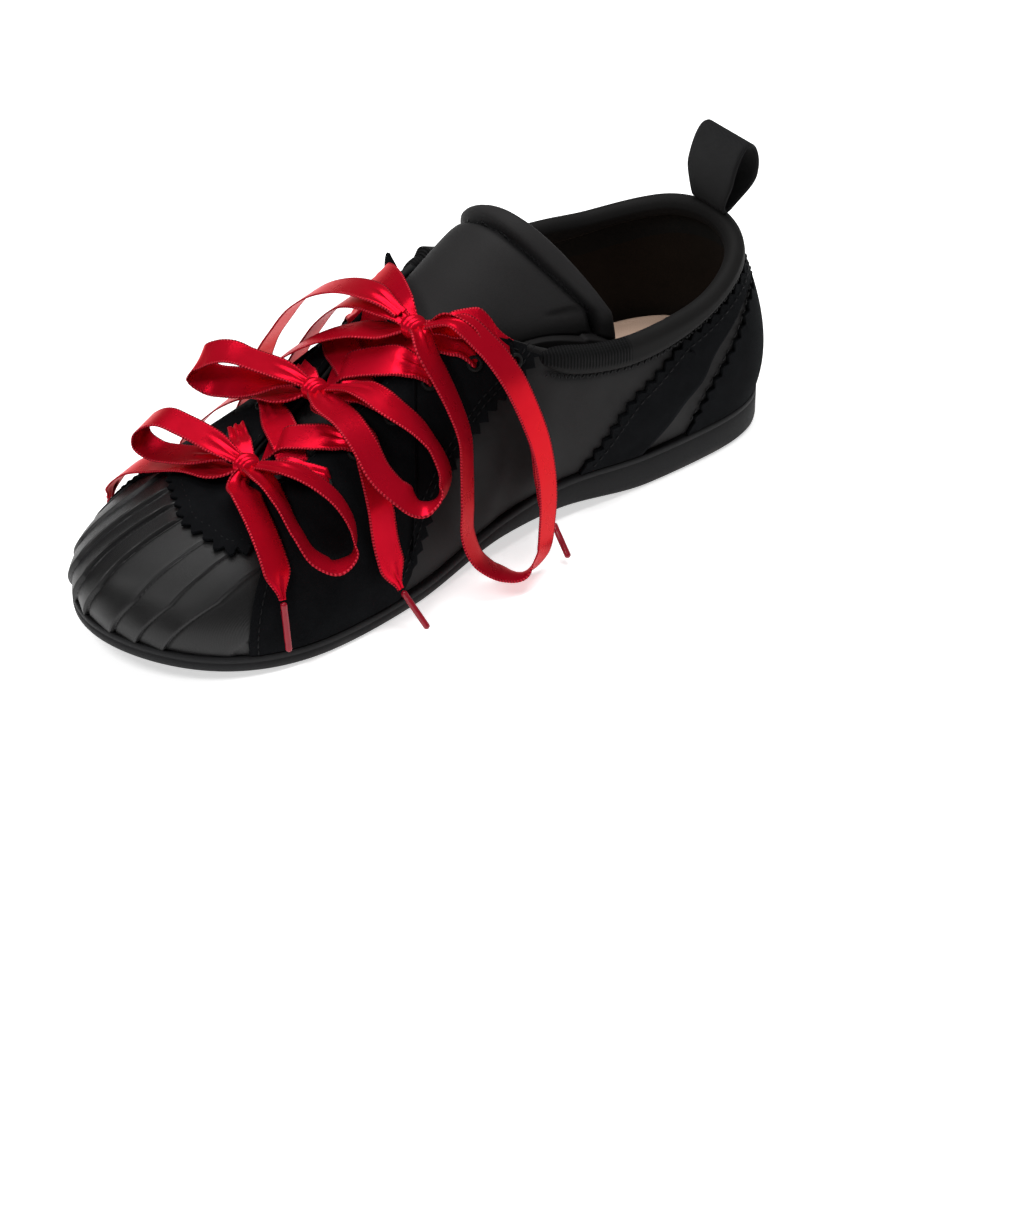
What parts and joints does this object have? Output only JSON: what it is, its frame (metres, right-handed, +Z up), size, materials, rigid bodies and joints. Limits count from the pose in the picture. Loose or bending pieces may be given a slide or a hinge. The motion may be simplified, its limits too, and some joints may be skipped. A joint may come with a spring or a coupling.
{
  "type": "lace-up sneaker",
  "caption": "Low black right sneaker with a pleated satin toe cap, pinked suede overlays, a padded tongue, a webbing heel loop and red satin ribbon bows over the instep",
  "frame": {"origin": "on the floor under the middle of the shoe's box, bows left out", "axes": "+Z up; the heel is at +Y and the toe at -Y; +X is the medial side of a right foot"},
  "size_m": [0.107, 0.2511, 0.0945],
  "materials": {
    "rubber": "matte moulded rubber sole, dark grey",
    "leather": "smooth tan leather sock lining",
    "neoprene": "charcoal stretch cloth bonded to thin foam",
    "satin": "black satin with a soft sheen",
    "suede": "blue-black brushed suede",
    "webbing": "black ribbed webbing and grosgrain",
    "metal": "small dark steel eyelets",
    "ribbon": "crimson satin ribbon with looped edges",
    "tip": "clear plastic tube over the ribbon end"
  },
  "bodies": {
    "root": {"outsole": "rubber", "insole": "leather", "upper": "neoprene", "tongue": "neoprene", "toe_cap": "satin", "vamp": "suede", "quarter_band": "suede", "heel_counter": "suede", "collar_binding": "webbing", "pull_loop": "webbing", "eyelet_medial_1": "metal", "eyelet_medial_2": "metal", "eyelet_medial_3": "metal", "eyelet_medial_4": "metal", "eyelet_medial_5": "metal", "eyelet_medial_6": "metal", "eyelet_lateral_1": "metal", "eyelet_lateral_2": "metal", "eyelet_lateral_3": "metal", "eyelet_lateral_4": "metal", "eyelet_lateral_5": "metal", "eyelet_lateral_6": "metal", "lace_1_crossing": "ribbon", "lace_1_gather_medial": "ribbon", "lace_1_gather_lateral": "ribbon", "lace_2_crossing": "ribbon", "lace_2_gather_medial": "ribbon", "lace_2_gather_lateral": "ribbon", "lace_3_crossing": "ribbon", "lace_3_gather_medial": "ribbon", "lace_3_gather_lateral": "ribbon", "bow_1_knot": "ribbon", "bow_1_loop_medial": "ribbon", "bow_1_loop_lateral": "ribbon", "bow_1_end_medial": "ribbon", "bow_1_end_lateral": "ribbon", "bow_1_tip_medial": "tip", "bow_1_tip_lateral": "tip", "bow_2_knot": "ribbon", "bow_2_loop_medial": "ribbon", "bow_2_loop_lateral": "ribbon", "bow_2_end_medial": "ribbon", "bow_2_end_lateral": "ribbon", "bow_2_tip_medial": "tip", "bow_2_tip_lateral": "tip", "bow_3_knot": "ribbon", "bow_3_loop_medial": "ribbon", "bow_3_loop_lateral": "ribbon", "bow_3_end_medial": "ribbon", "bow_3_end_lateral": "ribbon", "bow_3_tip_medial": "tip", "bow_3_tip_lateral": "tip"}
  },
  "joints": []
}
